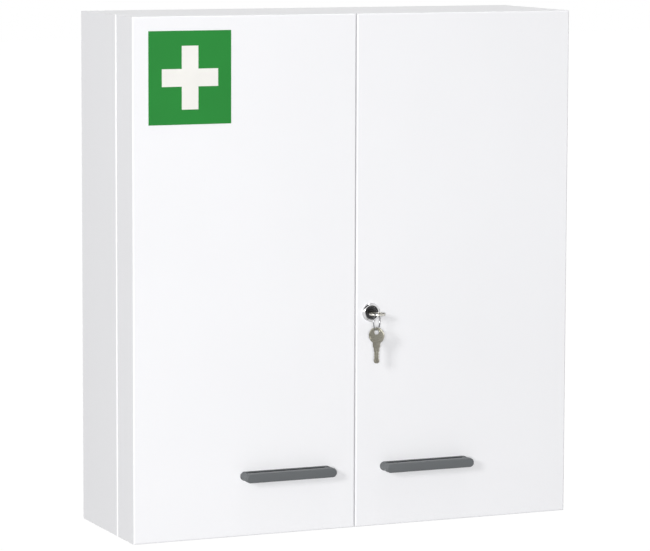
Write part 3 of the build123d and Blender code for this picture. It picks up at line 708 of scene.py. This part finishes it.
def build_key(name, node, body, place):
    """A flat pressed key: a rounded bow with its hole and rim, a line across the neck, a grooved blade."""
    half = key_outline()
    outline = half + [(-w, d) for w, d in reversed(half[1:-1])]
    bm = prism(outline, -KEY_THICKNESS / 2, KEY_THICKNESS / 2)
    bevel(bm, level, KEY_EDGE, segments=2)
    bm = cut(bm, key_cutters())
    bead = sweep([Vector((0, d, 0)) for d in BEAD], BEAD_RADIUS, sides=24)
    bm = joined([bm, bead])
    bmesh.ops.transform(bm, matrix=place, verts=bm.verts)
    key = finish_mesh(name, bm, body, "key_nickel", (node,), sharp=30)
    # The rim faces, those across the key's flat axis, take the lighter metal: a painted highlight along the
    # edges.
    key.data.materials.append(MATERIALS["key_rim_painted_highlight"])
    flat_axis = place.to_3x3() @ Vector((0, 0, 1))
    for face in key.data.polygons:
        if abs(face.normal.dot(flat_axis)) < RIM_NORMAL:
            face.material_index = 1


bow_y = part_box("lock_key")[0].y / MM + BOW_RADIUS
place_first = Matrix.Translation((lock_x, bow_y, lock_z))
build_key("first_key", "lock_key", "lock_core", place_first)

RING_WIRE = 0.6  # the wire's radius in the plain ring that this one replaces
COIL_WIRE = 0.36  # the radius of each coil's wire
COIL_TURNS = 2.0
COIL_CLOSED = 0.985  # share of the turns before the wire's end
COIL_START = math.radians(140)
COIL_STEPS = 240
CROSSING_START, CROSSING_LENGTH = 0.42, 0.16  # where the wire changes over, as shares of its length

ring_size = size_of("key_ring")
ring_turn = math.atan2(ring_size.x - 2 * RING_WIRE, ring_size.y - 2 * RING_WIRE)
spare_middle = centre_of("spare_key")
spare_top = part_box("spare_key")[1].z / MM
spare_bow = Vector((spare_middle.x, spare_middle.y, spare_top - BOW_RADIUS))
turned_aside = Matrix.Rotation(-ring_turn, 4, "Z")
hanging_down = Matrix.Rotation(math.radians(-90), 4, "X")
place_spare = Matrix.Translation(spare_bow) @ turned_aside @ hanging_down
build_key("second_key", "spare_key", "spare_key", place_spare)


def build_ring():
    """A split ring: wire wound twice round, its two coils side by side."""
    middle = centre_of("key_ring")
    radius = ring_size.z / 2 - RING_WIRE
    across = Vector((math.cos(ring_turn), -math.sin(ring_turn), 0))
    along = Vector((math.sin(ring_turn), math.cos(ring_turn), 0))
    path = []
    for k in range(COIL_STEPS + 1):
        t = k / COIL_STEPS
        a = COIL_START + 2 * math.pi * COIL_TURNS * t * COIL_CLOSED
        crossed = min(1.0, max(0.0, (t - CROSSING_START) / CROSSING_LENGTH))
        shift = across * (2 * COIL_WIRE * crossed - COIL_WIRE)
        path.append(middle + shift + along * (radius * math.cos(a)) + Vector((0, 0, radius * math.sin(a))))
    wire = sweep(path, COIL_WIRE, sides=14)
    finish_mesh("split_ring", wire, "key_ring", "ring_steel", ("key_ring",), sharp=60)


build_ring()


# ------------------------------------------------------------------ surroundings

FLOOR_LEVEL = -1.3
FLOOR_HALF = 30
FLOOR_GREY = (0.4, 0.4, 0.41, 1)
FLOOR_GLOW = 1.06
FLOOR_GLOW_SHARE = 0.95
SOFT_WHITE = (0.97, 0.98, 1.0, 1)
SOFT_STRENGTH = 0.15
PLAIN_WHITE = (1, 1, 1, 1)
CLOTH_BLACK = (0.01, 0.01, 0.01, 1)


def flat_sheet(name, points):
    bm = bmesh.new()
    bm.faces.new([bm.verts.new(p) for p in points])
    mesh = bpy.data.meshes.new(name)
    bm.to_mesh(mesh)
    bm.free()
    sheet = bpy.data.objects.new(name, mesh)
    bpy.context.scene.collection.objects.link(sheet)
    return sheet


def direction(azimuth, elevation):
    """The way from the cabinet to something that stands at these angles in degrees."""
    a, e = math.radians(azimuth), math.radians(elevation)
    return Vector((math.sin(a) * math.cos(e), -math.cos(a) * math.cos(e), math.sin(e)))


def calculate(tree, operation, first, second):
    """One calculation on two values: second is a socket or a number."""
    node = tree.nodes.new("ShaderNodeMath")
    node.operation = operation
    tree.links.new(first, node.inputs[0])
    if isinstance(second, (int, float)):
        node.inputs[1].default_value = second
    else:
        tree.links.new(second, node.inputs[1])
    return node.outputs[0]


def background_share(tree):
    """1 for rays from the camera and for those that metal and glass send on."""
    path = tree.nodes.new("ShaderNodeLightPath").outputs
    seen = calculate(tree, "MAXIMUM", path["Is Camera Ray"], path["Is Glossy Ray"])
    return calculate(tree, "MAXIMUM", seen, path["Is Transmission Ray"])


def coloured(tree, kind, colour, strength=None):
    """A shader node of one colour, and of one strength where it shines."""
    node = tree.nodes.new(kind)
    node.inputs["Color"].default_value = colour
    if strength is not None:
        node.inputs["Strength"].default_value = strength
    return node


def blend_into(tree, output, share, plain, seen):
    """Joins two shaders, of which the second gets the share, to a new output node."""
    out = tree.nodes.new(output)
    blend = tree.nodes.new("ShaderNodeMixShader")
    tree.links.new(share, blend.inputs[0])
    tree.links.new(plain.outputs[0], blend.inputs[1])
    tree.links.new(seen.outputs[0], blend.inputs[2])
    tree.links.new(blend.outputs[0], out.inputs["Surface"])


def pale_floor():
    """A floor that looks white and gives the cabinet a grey floor's light."""
    sheet = rectangle((-FLOOR_HALF, FLOOR_HALF), (-FLOOR_HALF, FLOOR_HALF))
    floor = flat_sheet("floor", [(x, y, FLOOR_LEVEL) for x, y in sheet])
    material = bpy.data.materials.new("pale_floor")
    material.use_nodes = True
    tree = material.node_tree
    tree.nodes.clear()
    matt = coloured(tree, "ShaderNodeBsdfDiffuse", FLOOR_GREY)
    white = coloured(tree, "ShaderNodeEmission", PLAIN_WHITE, FLOOR_GLOW)
    share = calculate(tree, "MULTIPLY", background_share(tree), FLOOR_GLOW_SHARE)
    blend_into(tree, "ShaderNodeOutputMaterial", share, matt, white)
    floor.data.materials.append(material)


def dark_backdrop(name, azimuth, elevation, distance, width, height):
    """A black cloth of the studio that only shows as a reflection in the metal."""
    towards = direction(azimuth, elevation)
    sideways = towards.cross(Vector((0, 0, 1))).normalized()
    upwards = sideways.cross(towards)
    corners = [
        towards * distance + sideways * x * width / 2 + upwards * z * height / 2
        for x, z in rectangle((-1, 1), (-1, 1))
    ]
    cloth = flat_sheet(name, corners)
    black = bpy.data.materials.new(name)
    black.use_nodes = True
    black.node_tree.nodes["Principled BSDF"].inputs["Base Color"].default_value = CLOTH_BLACK
    black.node_tree.nodes["Principled BSDF"].inputs["Roughness"].default_value = 1.0
    cloth.data.materials.append(black)
    cloth.visible_camera = False
    cloth.visible_diffuse = False
    cloth.visible_shadow = False
    cloth.visible_transmission = False


def studio_world():
    """A white studio to the eye and to metal, and a soft light to everything else."""
    world = bpy.data.worlds.new("studio")
    bpy.context.scene.world = world
    world.use_nodes = True
    tree = world.node_tree
    tree.nodes.clear()
    soft = coloured(tree, "ShaderNodeBackground", SOFT_WHITE, SOFT_STRENGTH)
    plain = coloured(tree, "ShaderNodeBackground", PLAIN_WHITE, 1.0)
    blend_into(tree, "ShaderNodeOutputWorld", background_share(tree), soft, plain)


LIGHT_TARGET = Vector((0, -0.12, 0))


def light_from(name, azimuth, elevation, distance, share, size):
    """A square lamp that gives the share of full white on a surface facing it at the cabinet."""
    towards = direction(azimuth, elevation)
    light = bpy.data.lights.new(name, "AREA")
    light.shape = "RECTANGLE"
    light.size = light.size_y = size
    light.energy = share * math.pi**2 * distance**2
    lamp = bpy.data.objects.new(name, light)
    lamp.location = LIGHT_TARGET + towards * distance
    lamp.rotation_euler = (LIGHT_TARGET - lamp.location).to_track_quat("-Z", "Y").to_euler()
    bpy.context.scene.collection.objects.link(lamp)


pale_floor()
dark_backdrop("upper_cloth", azimuth=-40, elevation=48, distance=2.2, width=3.4, height=1.7)
studio_world()
light_from("key_light", azimuth=-47, elevation=15, distance=5.0, share=0.28, size=0.9)
light_from("front_light", azimuth=-23.5, elevation=6.4, distance=8.0, share=0.642, size=1.2)
light_from("top_light", azimuth=0, elevation=88, distance=4.0, share=0.36, size=1.0)
light_from("side_light", azimuth=-87, elevation=10, distance=4.0, share=0.142, size=1.0)


# ------------------------------------------------------------------ camera

CAMERA_PLACE = Vector((-1.563, -3.677, 0.457))
YAW = math.radians(23.498)
PITCH = math.radians(6.398)
ROLL = math.radians(0.189)
SENSOR_WIDTH = 36
LENS = 184.5
SHIFT_Y = -0.04
FARTHEST_SEEN = 200

forward = Vector((math.sin(YAW) * math.cos(PITCH), math.cos(YAW) * math.cos(PITCH), -math.sin(PITCH)))
level_right = Vector((math.cos(YAW), -math.sin(YAW), 0))
level_up = level_right.cross(forward)
right = level_right * math.cos(ROLL) + level_up * math.sin(ROLL)
up = level_up * math.cos(ROLL) - level_right * math.sin(ROLL)
camera_data = bpy.data.cameras.new("camera")
camera_data.sensor_width = SENSOR_WIDTH
camera_data.lens = LENS
camera_data.shift_y = SHIFT_Y
camera_data.clip_end = FARTHEST_SEEN
camera = bpy.data.objects.new("camera", camera_data)
axes = Matrix((right, up, -forward)).transposed()
camera.matrix_world = Matrix.Translation(CAMERA_PLACE) @ axes.to_4x4()
bpy.context.scene.collection.objects.link(camera)
bpy.context.scene.camera = camera

bpy.context.scene.view_settings.view_transform = "Standard"
